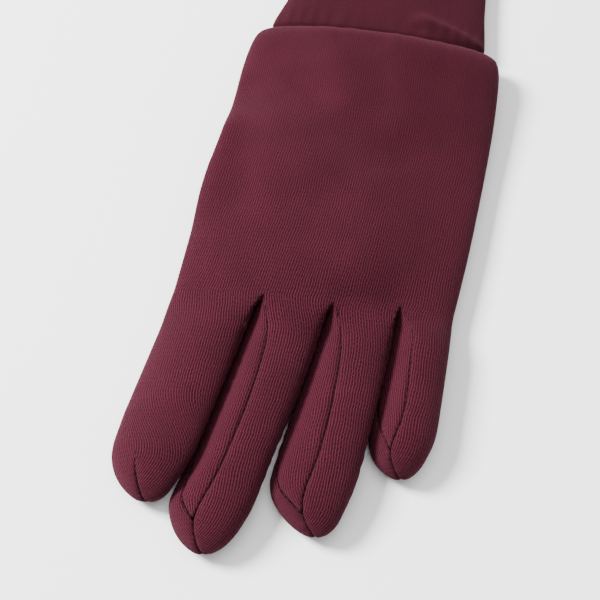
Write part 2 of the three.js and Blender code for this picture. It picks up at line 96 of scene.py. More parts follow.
def jersey(name, pale, dark, stitch_depth_mm):
    """Knitted wool: V stitches from the piece's own map, which is in millimetres of cloth. It looks
    dull and soft, with fine dark lines between the wales and a faint pink bloom of loose fibres."""
    material = bpy.data.materials.new(name)
    material.use_nodes = True
    tree = material.node_tree
    cloth = add(tree, "ShaderNodeUVMap", {"uv_map": "cloth"}).outputs[0]
    place = add(tree, "ShaderNodeTexCoord").outputs["Object"]
    # The wales wander by half their width over 6 mm and an eighth of it over 2 mm, so none is ruled
    slow = add(tree, "ShaderNodeTexNoise", Vector=cloth, Scale=1 / SLOW_WANDER_MM, Detail=1.0).outputs["Fac"]
    quick = add(tree, "ShaderNodeTexNoise", Vector=cloth, Scale=1 / QUICK_WANDER_MM,
                Detail=2.0).outputs["Fac"]
    across, along, _ = add(tree, "ShaderNodeSeparateXYZ", Vector=cloth).outputs
    drift = add(tree, "MULTIPLY_ADD", i0=slow, i1=1.0, i2=add(tree, "MULTIPLY", i0=quick, i1=0.25))
    row = add(tree, "MULTIPLY_ADD", i0=along, i1=1 / COURSE_MM, i2=add(tree, "MULTIPLY", i0=quick, i1=0.8))
    course = add(tree, "FRACT", i0=row)
    column = add(tree, "DIVIDE", i0=add(tree, "ADD", i0=across, i1=drift), i1=WALE_MM)
    # Every stitch leans across its wale by a fifth of the wale's width
    wale = add(tree, "FRACT", i0=add(tree, "MULTIPLY_ADD", i0=course, i1=0.2, i2=column))
    side = add(tree, "MULTIPLY", i0=add(tree, "ABSOLUTE", i0=add(tree, "SUBTRACT", i0=wale, i1=0.5)), i1=2.0)
    # The groove between two wales is painted as a row of dark dashes of shade, fainter where fuzz lies over
    # it
    fibres = add(tree, "ShaderNodeTexNoise", Vector=cloth, Scale=FIBRES_PER_MM, Detail=3.0,
                 Roughness=0.7).outputs["Fac"]
    edge = add(tree, "ShaderNodeMapRange", {"interpolation_type": "SMOOTHSTEP"}, Value=side,
               From_Min=0.1, From_Max=0.8).outputs["Result"]
    length = add(tree, "SINE", i0=add(tree, "MULTIPLY", i0=course, i1=math.pi))
    open_share = add(tree, "ShaderNodeMapRange", Value=fibres, From_Min=0.8, From_Max=0.45).outputs["Result"]
    dash = add(tree, "MULTIPLY", i0=add(tree, "MULTIPLY_ADD", i0=length, i1=0.35, i2=0.65), i1=open_share)
    # The cloth is brushed more thickly towards the wrist, so its knit fades there
    towards_wrist = add(tree, "ShaderNodeSeparateXYZ", Vector=place).outputs["Y"]
    brushed = add(tree, "ShaderNodeMapRange", Value=towards_wrist, From_Min=BRUSHED_FROM,
                  From_Max=BRUSHED_TO, To_Min=1.0, To_Max=0.4).outputs["Result"]
    groove = add(tree, "MULTIPLY", i0=add(tree, "MULTIPLY", i0=edge, i1=dash), i1=brushed)
    stitch = add(tree, "SUBTRACT", i0=1.0, i1=groove)
    yarn = add(tree, "ShaderNodeMix", {"data_type": "RGBA"}, i0=fibres, i6=linear(dark), i7=linear(pale))
    # Painted shade: the grooves are mixed towards a near-black colour
    knit = add(tree, "ShaderNodeMix", {"data_type": "RGBA"}, i0=groove, i6=yarn.outputs[2],
               i7=linear(GROOVE_SHADE))
    # Along a seam the thread bites in every 2.2 mm: a slit with its shade painted near-black, pinched and
    # soft at its ends
    seam = add(tree, "ShaderNodeAttribute", {"attribute_name": "seam_mm"}).outputs["Fac"]
    reach = add(tree, "ShaderNodeAttribute", {"attribute_name": "stitch_mm"}).outputs["Fac"]
    bite = add(tree, "SINE", i0=add(tree, "MULTIPLY", i0=reach, i1=2 * math.pi / STITCH_MM))
    slit = add(tree, "ShaderNodeMapRange", Value=bite, From_Min=-0.3, From_Max=0.7,
               To_Min=0.15).outputs["Result"]
    near = add(tree, "ShaderNodeMapRange", Value=seam, From_Min=0.5, From_Max=0.1,
               To_Max=0.6).outputs["Result"]
    bitten = add(tree, "MULTIPLY", i0=near, i1=slit)
    # Painted shade: the slits are mixed towards the same near-black colour
    lined = add(tree, "ShaderNodeMix", {"data_type": "RGBA"}, i0=bitten, i6=knit.outputs[2],
                i7=linear(GROOVE_SHADE))
    # Broad patches, 10 to 20 mm wide, where the brushing is thicker or thinner
    patches = add(tree, "ShaderNodeTexNoise", Vector=place, Scale=PATCHES_PER_M, Detail=3.0).outputs["Fac"]
    tone = add(tree, "MULTIPLY_ADD", i0=patches, i1=0.5, i2=0.75)
    # The colour also darkens towards the wrist, to 0.61 of the fingers'
    depth = add(tree, "MULTIPLY_ADD", i0=brushed, i1=0.65, i2=0.35)
    colour = add(tree, "ShaderNodeVectorMath", {"operation": "SCALE"}, i0=lined.outputs[2],
                 Scale=add(tree, "MULTIPLY", i0=tone, i1=depth))
    fuzz = add(tree, "MULTIPLY_ADD", i0=fibres, i1=0.6, i2=add(tree, "MULTIPLY", i0=bitten, i1=-2.0))
    relief = add(tree, "ADD", i0=stitch, i1=fuzz)
    bump = add(tree, "ShaderNodeBump", Strength=0.9, Distance=stitch_depth_mm * MM, Height=relief)
    cloth_shader = tree.nodes["Principled BSDF"]
    tree.links.new(colour.outputs[0], cloth_shader.inputs["Base Color"])
    tree.links.new(bump.outputs[0], cloth_shader.inputs["Normal"])
    cloth_shader.inputs["Roughness"].default_value = 0.95
    cloth_shader.inputs["Specular IOR Level"].default_value = 0.08
    cloth_shader.inputs["Sheen Weight"].default_value = 0.12
    cloth_shader.inputs["Sheen Roughness"].default_value = 0.5
    cloth_shader.inputs["Sheen Tint"].default_value = linear(FUZZ_TINT)
    return material


wool_jersey = jersey("brushed merino jersey", PALE_YARN, DARK_YARN, 0.3)

# The trank is the glove's main cut: back and palm in one piece of jersey, folded round the index
# finger's side and closed by a seam under the little finger's side. Its sizes are those of the
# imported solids, from the wrist seam's middle, in millimetres.
FABRIC = 1.2  # one layer
SETTLE = 1.0  # how far the underside is pressed flat by lying on the table
PALM_WIDTH, PALM_LENGTH, HAND_THICKNESS = 88.0, 108.0, 12.5
ROUNDNESS = 2.5  # exponent of the hand's oval
SIDE_SEAM = -35.0  # degrees below the little finger's side
FINGER_LENGTHS = (69.0, 82.0, 74.0, 55.5)
FINGER_THICKNESS = 12.0
CREVICE_LEAN, CREVICE_GAP, CREVICE_OPENING = math.tan(math.radians(34)), 0.2, 3.2
TILT = math.radians(14)  # each finger is rolled, its index side down
FORK_LEAN = math.tan(math.radians(25))
FORK_BLEND, TIP_ROUND = 13.0, 0.7
THUMB_LENGTH, THUMB_WIDTH, THUMB_THICKNESS = 58.0, 23.0, 8.0
THUMB_GAP, THUMB_DRAPE, THUMB_LIFT = 0.4, 13.0, 0.55
THUMB_HEADING = math.radians(58)  # from the fingers' direction, pointing across the palm
HOLE_LENGTH, HOLE_WIDTH = 26.0, 17.0
HOLE_IN_PALM, HOLE_IN_THUMB = (0.5, 10.5), (5.5, 10.0)  # heights between which each is cut
WRIST = np.array([6.79, 56.56, 0.0])  # the wrist seam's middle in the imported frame

# along, left, right, thick
HAND_SECTIONS = np.array([
    (0.0, -0.425, 0.415, 0.84), (0.014, -0.448, 0.452, 1.08), (0.04, -0.468, 0.473, 1.27),
    (0.09, -0.483, 0.485, 1.34), (0.185, -0.497, 0.489, 1.22), (0.32, -0.502, 0.486, 1.08),
    (0.46, -0.511, 0.477, 1.0), (0.6, -0.532, 0.466, 0.98), (0.74, -0.541, 0.453, 0.98),
    (0.88, -0.552, 0.436, 0.97), (1.0, -0.559, 0.42, 0.96),
])
# across and along of the forks, with the hand's two sides first and last
FORKS = [(-0.559, 1.0), (-0.233, 1.0), (0.009, 0.995), (0.236, 0.963), (0.427, 0.944)]
# half width, root and closing seam of the index, middle, ring and little finger
FINGERS = [(0.152, -0.408, 0.16), (0.143, -0.143, 0.104), (0.143, 0.093, 0.068), (0.116, 0.309, 0.126)]
# along, and how far the index, middle, ring and little finger have bent sideways
BENDS = np.array([
    (0, 0, 0, 0, 0), (1 / 3, -0.052, -0.055, -0.022, -0.004), (2 / 3, -0.102, -0.122, -0.056, -0.012),
    (0.85, -0.12, -0.15, -0.071, -0.02), (1, -0.105, -0.144, -0.03, 0.002),
])
# along, and the angles of the back's left, palm's left, palm's right and back's right seam
SEAM_RUNS = np.array([
    (0.0, 120, 196, 306, 26), (0.07, 106, 196, 304, 20), (0.18, 95, 194, 302, 12),
    (0.45, 86, 184, 300, 0), (0.68, 83, 168, 296, -14), (0.83, 85, 148, 290, -34),
    (0.93, 92, 125, 284, -58), (1.0, 101, 101, 281, -79),
])
BACK_LEFT, PALM_LEFT, PALM_RIGHT, BACK_RIGHT = 1, 2, 3, 4
INDEX_FOLD, LITTLE_SIDE_SEAM = 180.0, -55.0
# from and to, as shares of the palm, then width and depth as shares of its thickness
FOLDS = [
    (-0.455, 0.26, -0.394, 0.7, 0.36, 0.2), (0.04, 0.97, 0.2, 0.93, 0.4, 0.06),
    (-0.02, 0.05, 0.05, 0.26, 1.9, -0.3), (-0.34, 0.11, -0.02, 0.08, 0.5, 0.09),
    (0.0, 0.12, 0.07, 0.3, 0.5, 0.1), (-0.2, 0.08, -0.08, 0.32, 0.6, -0.1),
    (0.3, 0.2, 0.36, 0.5, 0.7, 0.06), (-0.16, 0.7, 0.16, 0.45, 0.55, 0.035),
    (0.04, 0.985, 0.21, 0.965, 0.22, 0.06), (-0.25, 0.5, 0.05, 0.62, 0.6, -0.04),
]
FOLDS_START = 0.07  # they reach their depth this far from the wrist seam, as a share of the palm
GATHER, GATHER_REACH = 0.35, 9.0


def curve(table, column, at):
    """A smooth curve through one column of a table, at any place along it."""
    along, value = table[:, 0], table[:, column]
    near = np.arange(len(along))
    before, after = np.maximum(near - 1, 0), np.minimum(near + 1, len(along) - 1)
    slope = (value[after] - value[before]) / (along[after] - along[before])
    at = np.clip(at, along[0], along[-1])
    i = np.clip(np.searchsorted(along, at, side="right") - 1, 0, len(along) - 2)
    span = along[i + 1] - along[i]
    u = (at - along[i]) / span
    held = (1 + 2 * u) * (1 - u) ** 2 * value[i] + u * u * (3 - 2 * u) * value[i + 1]
    return held + span * (u * (1 - u) ** 2 * slope[i] - u * u * (1 - u) * slope[i + 1])


def smooth(u):
    """From 0 to 1 with a soft start and end."""
    u = np.clip(u, 0, 1)
    return u * u * (3 - 2 * u)


def lerp(a, b, share):
    """The value at a share of the way from a to b."""
    return a + (b - a) * share


def rounded(value):
    """A sine or cosine, squared off as the hand's oval is."""
    return np.sign(value) * np.abs(value) ** (2 / ROUNDNESS)


# The thumb's tube starts beyond the palm's index side and lies slantwise across it
thumb_start = np.array([-0.53 * PALM_WIDTH, -0.52 * PALM_LENGTH])
thumb_way = np.array([math.sin(THUMB_HEADING), -math.cos(THUMB_HEADING)])
thumb_across = np.array([-thumb_way[1], thumb_way[0]])


def over_thumb(x, y, reach):
    """1 over the thumb, falling to 0 at the given distance beside it."""
    offset = np.stack([x, y], -1) - thumb_start
    along = np.clip(offset @ thumb_way, THUMB_WIDTH / 2, THUMB_LENGTH - THUMB_WIDTH / 2)
    beside = np.linalg.norm(offset - along[..., None] * thumb_way, axis=-1) - THUMB_WIDTH / 2
    return 1 - smooth((beside - THUMB_DRAPE / 4) / reach)


def fold_depth(x, y):
    """How deep the soft folds of the hand's back are at a place. A rise counts as less than 0."""
    depth = 0.0
    place = np.stack([x, y], -1)
    for from_x, from_y, to_x, to_y, width, deep in FOLDS:
        start = np.array([from_x * PALM_WIDTH, -from_y * PALM_LENGTH])
        run = np.array([to_x * PALM_WIDTH, -to_y * PALM_LENGTH]) - start
        share = np.clip((place - start) @ run / (run @ run), 0, 1)
        distance = np.linalg.norm(place - start - share[..., None] * run, axis=-1)
        depth = depth + deep * HAND_THICKNESS * np.exp(-(distance / (width * HAND_THICKNESS)) ** 2)
    return depth * smooth(-y / (FOLDS_START * PALM_LENGTH))


def hand_point(angle, y):
    """The hand's oval. Angle 0 is the little finger's side, 90 the back and 180 the index side."""
    angle, y = np.broadcast_arrays(np.radians(angle), y)
    left = curve(HAND_SECTIONS, 1, -y / PALM_LENGTH) * PALM_WIDTH
    right = curve(HAND_SECTIONS, 2, -y / PALM_LENGTH) * PALM_WIDTH
    half = (curve(HAND_SECTIONS, 3, -y / PALM_LENGTH) * HAND_THICKNESS + SETTLE) / 2
    x = (left + right) / 2 + (right - left) / 2 * rounded(np.cos(angle))
    sine = rounded(np.sin(angle))
    rest = (THUMB_THICKNESS + THUMB_GAP) * over_thumb(x, y, THUMB_DRAPE)
    back_lift = THUMB_LIFT * THUMB_THICKNESS * over_thumb(x, y, 2 * THUMB_DRAPE)
    lift = lerp(rest, back_lift, (1 + sine) / 2)
    z = half - SETTLE + half * sine + lift - fold_depth(x, y) * np.maximum(sine, 0)
    # The wrist seam gathers the cloth in small folds 4 to 6 mm apart, gone 15 mm below it
    gather = np.sin(x * 1.05 + 1.6 * np.sin(x * 0.19)) + 0.6 * np.sin(x * 1.73 + 1.0)
    z = z + GATHER * gather * np.exp(-(y / GATHER_REACH) ** 2) * np.maximum(sine, 0)
    return np.stack([x, y, np.maximum(z, rest)], -1)


def hand_angle(across, along, underneath):
    """The angle of the hand's oval at a share of the palm across and along."""
    left, right = curve(HAND_SECTIONS, 1, along), curve(HAND_SECTIONS, 2, along)
    share = np.clip((2 * across - left - right) / (right - left), -1, 1)
    angle = math.degrees(math.acos(np.sign(share) * abs(share) ** (ROUNDNESS / 2)))
    return 360 - angle if underneath else angle


fork_shift = FORK_LEAN * HAND_THICKNESS / PALM_WIDTH
fork_angles = {
    "back": [180.0] + [hand_angle(x, y, False) for x, y in FORKS[1:4]] + [SIDE_SEAM],
    "palm": [180.0] + [hand_angle(x - fork_shift, y, True) for x, y in FORKS[1:4]] + [360 + SIDE_SEAM],
}


def root_depth(k, share):
    """How far finger k's root lies from the wrist seam, from its own left fork to its right one."""
    return lerp(FORKS[k][1], FORKS[k + 1][1], share) * PALM_LENGTH


def finger_section(k, t):
    """Middle line, half width and half height of finger k at a share of its length."""
    half, root, _ = FINGERS[k]
    length, full = FINGER_LENGTHS[k], half * PALM_WIDTH
    x = root * PALM_WIDTH + length * curve(BENDS, k + 1, t)
    y = -root_depth(k, 0.5) - length * t
    u = np.clip(1 - (1 - t) * length / (2 * full * TIP_ROUND), 0, 1)
    return x, y, full * (1 - u ** 1.8) ** 0.55, (FINGER_THICKNESS + SETTLE) / 2 * (1 - u ** 2.4) ** 0.5


def crevice(k, y, missing):
    """Where the crevice between finger k and the next stands, or missing past a fingertip."""
    reach = [(-y - root_depth(i, 0.5)) / FINGER_LENGTHS[i] for i in (k, k + 1)]
    left_x, _, left_half, _ = finger_section(k, reach[0])
    right_x, _, right_half, _ = finger_section(k + 1, reach[1])
    middle = (left_x + left_half + right_x - right_half) / 2
    return np.where(np.maximum(*reach) > 1, missing, middle)


def finger_point(k, angle, t):
    """A finger's own oval, rolled, resting on the table and clear of its neighbours."""
    x, y, half, half_height = finger_section(k, t)
    across = half / math.cos(TILT) * np.cos(np.radians(angle))
    up = half_height * np.sin(np.radians(angle))
    x = x + across * math.cos(TILT) - up * math.sin(TILT)
    z = (FINGER_THICKNESS - SETTLE) / 2 + across * math.sin(TILT) + up * math.cos(TILT)
    z = np.maximum(z, 0)
    lean = CREVICE_LEAN * (z - FINGER_THICKNESS / 2)
    if k < 3:
        x = np.minimum(x, crevice(k, y, np.inf) + lean - CREVICE_GAP)
    if k > 0:
        # The next finger's side falls away from it, so the crevice opens upwards like a V
        opening = CREVICE_OPENING * np.clip(z / FINGER_THICKNESS, 0, 1)
        x = np.maximum(x, crevice(k - 1, y, -np.inf) + lean + CREVICE_GAP + opening)
    return np.stack(np.broadcast_arrays(x, y, z), -1)


def seam_angle(k, seam, t):
    """Where a seam runs on finger k's oval. The index finger's left side is the fold, with no seam,
    and the little finger's right side is the trank's own seam."""
    share = t / (1 - FINGERS[k][2])
    run = curve(SEAM_RUNS, seam, np.minimum(share, 1))
    if k == 0 and seam in (BACK_LEFT, PALM_LEFT):
        return lerp(INDEX_FOLD, SEAM_RUNS[-1, BACK_LEFT], smooth((share - 0.6) / 0.4))
    if k == 3 and seam == BACK_RIGHT:
        return lerp(LITTLE_SIDE_SEAM, run, smooth((share - 0.6) / 0.4))
    if k == 3 and seam == PALM_RIGHT:
        return 360 + seam_angle(3, BACK_RIGHT, t)
    return run


def blended(k, start, angle, t):
    """Finger k from a point of the hand on, rounding into its own oval."""
    moved, root = finger_section(k, t), finger_section(k, 0.0)
    share = np.minimum(1, t * FINGER_LENGTHS[k] / FORK_BLEND)
    own = finger_point(k, angle, t)
    x = lerp(start[..., 0] + moved[0] - root[0], own[..., 0], 1 - (1 - share) ** 2)
    y = lerp(start[..., 1] + moved[1] - root[1], own[..., 1], share)
    z = lerp(start[..., 2], own[..., 2], smooth(share))
    return np.stack(np.broadcast_arrays(x, y, z), -1)


# Rows of points 1.2 mm apart down the hand and the fingers, closer at the very tips
ROW_MM, CLOSING_ROWS = 1.2, 15
HAND_ROWS = np.linspace(0, 1, 91)
STRIP_COLUMNS = 18


def edge_count(k):
    """The rows of a finger that lie along its fourchettes."""
    return round((1 - FINGERS[k][2]) * FINGER_LENGTHS[k] / ROW_MM) - 1


def finger_rows(k):
    """Shares of a finger's length, from its root to its tip."""
    end = 1 - FINGERS[k][2]
    straight = np.linspace(0, end, edge_count(k) + 1)
    closing = lerp(end, 1, np.sin(np.linspace(0, math.pi / 2, CLOSING_ROWS)))
    return np.concatenate([straight[1:], closing[1:]])


def length_along(points, axis):
    """The length of cloth from a strip's first row or column to each point."""
    steps = np.linalg.norm(np.diff(points, axis=axis), axis=-1)
    start = np.zeros_like(np.take(steps, [0], axis=axis))
    return np.concatenate([start, np.cumsum(steps, axis=axis)], axis=axis)


def in_thumb_hole(point, lowest, highest):
    """Whether a point lies in the oval through which the thumb's tube opens into the palm."""
    offset = point[:2] - thumb_start
    along = (offset @ thumb_way - FABRIC - HOLE_LENGTH / 2 - THUMB_WIDTH / 8) / (HOLE_LENGTH / 2)
    across = offset @ thumb_across / (HOLE_WIDTH / 2)
    return along ** 2 + across ** 2 < 1 and lowest < point[2] < highest


def piece_of_cloth(name, strips, lowest=0.0, highest=0.0):
    """One mesh from strips of points, open at the thumb hole between two heights. A strip is
    (points, indices, cloth map, faces turn over)."""
    points = np.concatenate([strip[0].reshape(-1, 3) for strip in strips])
    faces, maps = [], []
    for _, index, cloth, turned in strips:
        rows, columns = index.shape
        for r in range(rows - 1):
            for c in range(columns - 1):
                corners = [(r + 1, c), (r + 1, c + 1), (r, c + 1), (r, c)]
                if turned:
                    corners.reverse()
                ids, kept = [], []
                for corner in corners:
                    if index[corner] not in ids:
                        ids.append(index[corner])
                        kept.append(cloth[corner])
                if len(ids) > 2 and not in_thumb_hole(points[ids].mean(0), lowest, highest):
                    faces.append(ids)
                    maps.extend(kept)
    used = np.unique(np.concatenate(faces))
    renumbered = np.zeros(len(points), int)
    renumbered[used] = np.arange(len(used))
    mesh = bpy.data.meshes.new(name)
    mesh.from_pydata(((points[used] + WRIST) * MM).tolist(), [], [renumbered[f].tolist() for f in faces])
    mesh.uv_layers.new(name="cloth").data.foreach_set("uv", np.array(maps, np.float32).ravel())
    mesh.validate()
    piece = bpy.data.objects.new(name, mesh)
    bpy.context.scene.collection.objects.link(piece)
    return piece


def trank_strip(side, k):
    """The back or palm from the wrist down to the tip of finger k, its columns closer at the seams."""
    share = np.linspace(0, 1, STRIP_COLUMNS + 1)
    share = lerp(share, (1 - np.cos(math.pi * share)) / 2, 0.6)
    angle = lerp(fork_angles[side][k], fork_angles[side][k + 1], share)
    hand = hand_point(angle, -HAND_ROWS[:, None] * root_depth(k, share))
    t = finger_rows(k)[:, None]
    left = seam_angle(k, BACK_LEFT if side == "back" else PALM_LEFT, t)
    right = seam_angle(k, BACK_RIGHT if side == "back" else PALM_RIGHT, t)
    finger = blended(k, hand[-1], lerp(left, right, share), t)
    return np.concatenate([hand, finger])


# The wales turn into each finger's own direction over the last 40 mm of the hand, by what a finger
# 60 mm long leans at a fifth of its length. The palm's map lies 150 mm beside the back's.
WALE_TURN, LEAN_AT, LEAN_LENGTH, PALM_MAP_SHIFT = 40.0, 0.2, 60.0, 150.0


def wale_maps(strips, side):
    """Cloth across and along for each strip. Wales run down the hand and down each finger."""
    hand = len(HAND_ROWS)
    turn, shift = (1, 0) if side == "back" else (-1, PALM_MAP_SHIFT)
    # On the hand, cloth is measured across from the fork between the middle and ring finger
    widths = [length_along(points[:hand], 1) for points in strips]
    starts = [-widths[0][:, -1] - widths[1][:, -1], -widths[1][:, -1], 0 * widths[2][:, 0], widths[2][:, -1]]
    roots = np.array([finger[1] for finger in FINGERS]) * PALM_WIDTH
    bends = [curve(BENDS, k + 1, LEAN_AT) / LEAN_AT for k in range(4)]
    lean = np.array(bends) / np.array(FINGER_LENGTHS) * LEAN_LENGTH
    maps = []
    for k, points in enumerate(strips):
        on_hand = starts[k][:, None] + widths[k]
        middle = points.shape[1] // 2
        across = length_along(points[hand:], 1)
        from_middle = across - across[:, middle:middle + 1]
        u = np.concatenate([on_hand, on_hand[-1, middle] + from_middle])
        above = np.clip(root_depth(k, 0.5) + points[..., 1], 0, WALE_TURN)
        drift = np.interp(points[..., 0], roots, lean) * (above - above ** 2 / (2 * WALE_TURN))
        maps.append(np.stack([turn * (u + drift) - shift, length_along(points, 0)], -1))
    return maps


# On the hand, neighbouring strips share a column of points, and back and palm share the index fold
strips, fold, offset = [], None, 0
for side in ("back", "palm"):
    last = None
    cuts = [trank_strip(side, k) for k in range(4)]
    for k, (points, cloth) in enumerate(zip(cuts, wale_maps(cuts, side))):
        index = np.arange(points.shape[0] * points.shape[1]).reshape(points.shape[:2]) + offset
        offset = index[-1, -1] + 1
        if last is not None:
            index[:len(HAND_ROWS), 0] = last[:len(HAND_ROWS), -1]
        if side == "palm" and k == 0:
            joined = len(HAND_ROWS) + edge_count(0)
            index[:joined, 0] = fold[:joined, 0]
        index[-1, :] = index[-1, 0]
        if side == "back" and k == 0:
            fold = index
        last = index
        strips.append((points, index, cloth, side == "palm"))
trank = piece_of_cloth("trank", strips, *HOLE_IN_PALM)


# A seam's edge rolls in, the cloth beside it sinks a little, and puckers run along it. All are in
# millimetres, and all fade out 5 mm before a corner.
ROLL_REACH, SINK, SINK_REACH = 0.6, 0.15, 2.4
PUCKER, PUCKER_SPACING, PUCKER_BESIDE, PUCKER_REACH = 0.12, 4.6, 1.2, 1.8
SEAM_REACH, FAR_FROM_SEAM = 8.0, 20.0
CORNER_FADE, CORNER_TURN = 5.0, -0.3
EDGE_PULL = 0.1


def read(items, name, per_item, kind=float):
    """One attribute of all of a mesh's vertices, edges or loops."""
    values = np.zeros(len(items) * per_item, kind)
    items.foreach_get(name, values)
    return values.reshape(-1, per_item) if per_item > 1 else values


def place_and_face(mesh, co):
    """Moves the vertices to these places, in millimetres, and gives their normals there."""
    mesh.vertices.foreach_set("co", (co * MM).ravel())
    mesh.update()
    return read(mesh.vertex_normals, "vector", 3, np.float32)


def open_edge(mesh, edges):
    """Each vertex of the cloth's open edges, with its neighbours along the edge."""
    uses = np.zeros(len(edges), int)
    np.add.at(uses, read(mesh.loops, "edge_index", 1, int), 1)
    following = {}
    for a, b in edges[uses == 1]:
        following.setdefault(a, []).append(b)
        following.setdefault(b, []).append(a)
    return following


def edge_corners(co, ends, before, after):
    """The corners of an edge, which stand at the forks and at a strip's ends."""
    to_before, to_after = co[before] - co[ends], co[after] - co[ends]
    to_before /= np.maximum(np.linalg.norm(to_before, axis=1), 1e-6)[:, None]
    to_after /= np.maximum(np.linalg.norm(to_after, axis=1), 1e-6)[:, None]
    corner = np.zeros(len(co), bool)
    corner[ends[(to_before * to_after).sum(1) > CORNER_TURN]] = True
    return corner


def eased(mesh, co, edges, ends, before, after, corner, rounds):
    """Eases out the kinks left where the hand rounds into the fingers. The cloth moves only in and
    out, and its edges as curves, so its stitches don't slide."""
    for _ in range(rounds):
        outward = place_and_face(mesh, co)
        total, count = np.zeros_like(co), np.zeros(len(co))
        for a, b in ((0, 1), (1, 0)):
            np.add.at(total, edges[:, a], co[edges[:, b]])
            np.add.at(count, edges[:, a], 1)
        shift = total / np.maximum(count, 1)[:, None] - co
        shift = outward * (shift * outward).sum(1)[:, None]
        run = co[after] - co[before]
        off_line = (co[after] + co[before]) / 2 - co[ends]
        off_line -= run * ((off_line * run).sum(1) / np.maximum((run * run).sum(1), 1e-6))[:, None]
        shift[ends] = off_line
        co = co + 0.5 * shift * ~corner[:, None]
    return co


def lengths_along_edge(co, following):
    """How far along its own edge each vertex of an edge lies."""
    along = {}
    for start in following:
        if start in along:
            continue
        along[start], here = 0.0, start
        while True:
            ahead = [n for n in following[here] if n not in along]
            if not ahead:
                break
            along[ahead[0]] = along[here] + np.linalg.norm(co[ahead[0]] - co[here])
            here = ahead[0]
    return along


def from_seam(co, following):
    """Each point's distance to the nearest edge, and how far along that edge it lies."""
    along = lengths_along_edge(co, following)
    tree = KDTree(len(along))
    for vertex in along:
        tree.insert(co[vertex], vertex)
    tree.balance()
    seam = np.full(len(co), FAR_FROM_SEAM)
    stitch = np.zeros(len(co))
    for i, point in enumerate(co):
        _, key, distance = tree.find(point)
        if distance > SEAM_REACH:
            continue
        ahead = along[key]
        for other in following[key]:
            run = co[other] - co[key]
            share = min(max((point - co[key]) @ run / (run @ run), 0), 1)
            reach = np.linalg.norm(point - co[key] - share * run)
            if reach < distance:
                distance = reach
                ahead = along[key] + share * (along[other] - along[key])
        seam[i], stitch[i] = distance, ahead
    return seam, stitch


def pull_of_edge(co, edges, ends):
    """The thread's small pull on each vertex of an edge, towards the cloth."""
    on_edge = np.zeros(len(co), bool)
    on_edge[ends] = True
    inwards = np.zeros_like(co)
    for a, b in edges:
        if on_edge[a] != on_edge[b]:
            edge, inner = (a, b) if on_edge[a] else (b, a)
            inwards[edge] += co[inner] - co[edge]
    size = np.linalg.norm(inwards, axis=1)
    return inwards / np.maximum(size, 1e-6)[:, None] * np.minimum(EDGE_PULL, size / 4)[:, None]


def finish_cloth(piece, thickness_mm, material, rounds=6, roll_mm=0.4):
    """Eases the cloth, rolls its edges into the seams, puckers it there and gives it its thickness."""
    mesh = piece.data
    co = read(mesh.vertices, "co", 3) / MM
    edges = read(mesh.edges, "vertices", 2, int)
    following = open_edge(mesh, edges)
    ends = np.array(list(following))
    before = np.array([following[v][0] for v in ends])
    after = np.array([following[v][-1] for v in ends])
    corner = edge_corners(co, ends, before, after)
    fade = np.ones(len(co))
    for place in co[corner]:
        fade = np.minimum(fade, np.linalg.norm(co - place, axis=1) / CORNER_FADE)
    co = eased(mesh, co, edges, ends, before, after, corner, rounds)
    outward = place_and_face(mesh, co)
    seam, stitch = from_seam(co, following)
    roll = roll_mm * np.exp(-(seam / ROLL_REACH) ** 2) + SINK * np.exp(-(seam / SINK_REACH) ** 2)
    ripple = np.sin(stitch * 2 * math.pi / PUCKER_SPACING + 2 * np.sin(stitch / 9))
    pucker = PUCKER * ripple * np.exp(-((seam - PUCKER_BESIDE) / PUCKER_REACH) ** 2)
    near = (seam < FAR_FROM_SEAM) * fade
    moved = co - outward * ((roll - pucker) * near)[:, None]
    moved += pull_of_edge(co, edges, ends) * fade[:, None]
    place_and_face(mesh, moved)
    mesh.attributes.new("seam_mm", "FLOAT", "POINT").data.foreach_set("value", seam.astype(np.float32))
    mesh.attributes.new("stitch_mm", "FLOAT", "POINT").data.foreach_set("value", stitch.astype(np.float32))
    bpy.ops.object.select_all(action="DESELECT")
    piece.select_set(True)
    bpy.context.view_layer.objects.active = piece
    wall = piece.modifiers.new("wall", "SOLIDIFY")
    wall.thickness = thickness_mm * MM
    wall.offset = -1
    wall.use_rim = True
    bpy.ops.object.modifier_apply(modifier="wall")
    # The inner face follows the eased cloth, so that it doesn't fold through where an edge is
    # rolled, and nothing sinks into the table
    walls = np.concatenate([moved, moved - outward * thickness_mm])
    walls[:, 2] = np.maximum(walls[:, 2], 0)
    place_and_face(mesh, walls)
    mesh.materials.append(material)
    bpy.ops.object.shade_smooth()


finish_cloth(trank, FABRIC, wool_jersey)
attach(trank, "root")
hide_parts("trank_back", "trank_palm")

# The fourchettes are the narrow strips between the fingers. Each goes down one finger's side, round
# the fork and up the next finger's, with a seam to the back and one to the palm.
FOURCHETTE_COLUMNS = 12


def fourchette_side(k, finger):
    """A fourchette's points on one finger, from its tip end to the fork."""
    share = np.linspace(0, 1, FOURCHETTE_COLUMNS + 1)
    top = hand_point(fork_angles["back"][k + 1], np.array(-root_depth(k, 1.0)))
    bottom = hand_point(fork_angles["palm"][k + 1], np.array(-root_depth(k, 1.0)))
    start = lerp(top, bottom, share[:, None])
    t = finger_rows(finger)[:edge_count(finger), None]
    if finger == k:
        back, palm = seam_angle(k, BACK_RIGHT, t) + 360, seam_angle(k, PALM_RIGHT, t)
    else:
        back, palm = seam_angle(finger, BACK_LEFT, t), seam_angle(finger, PALM_LEFT, t)
    side = blended(finger, start, lerp(back, palm, share), t)
    return np.concatenate([start[None], side])


